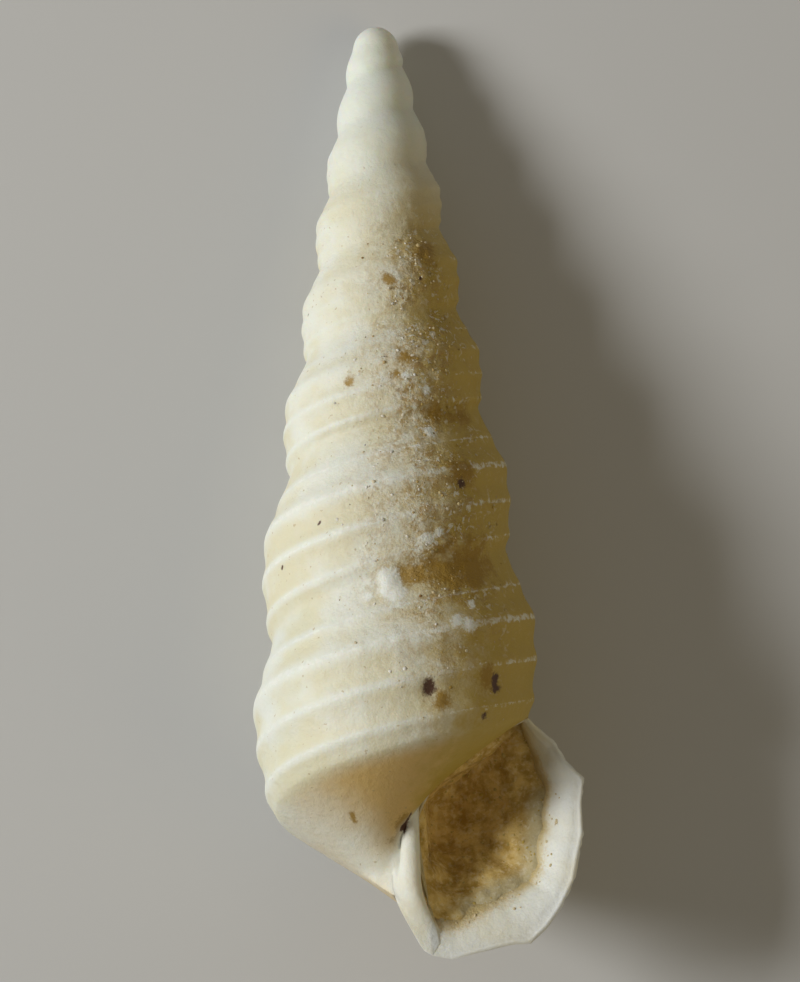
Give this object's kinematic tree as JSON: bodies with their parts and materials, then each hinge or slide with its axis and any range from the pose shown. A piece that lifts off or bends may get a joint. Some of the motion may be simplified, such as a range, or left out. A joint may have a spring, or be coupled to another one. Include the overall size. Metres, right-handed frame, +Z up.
{
  "type": "turret shell of a small sea snail",
  "caption": "Tall, slender sea snail shell, coiled to the right, with raised spiral cords, a flared mouth with a folded pillar, and sandy sediment packed in the mouth.",
  "frame": {"origin": "middle of the box's underside, on the surface that the shell rests on", "axes": "+Z up, which is where the mouth faces; +Y towards the tip, along the length; the shell's own axis dips 9.5 degrees to the tip"},
  "size_m": [0.0014, 0.0042, 0.0013],
  "materials": {
    "aged_shell": "worn cream shell, whiter at the tip, with brown stains and sand in its grooves",
    "sandy_sediment": "damp-looking brown sand and silt, rough"
  },
  "bodies": {
    "root": {"shell": "aged_shell", "sediment_fill": "sandy_sediment"}
  },
  "joints": []
}
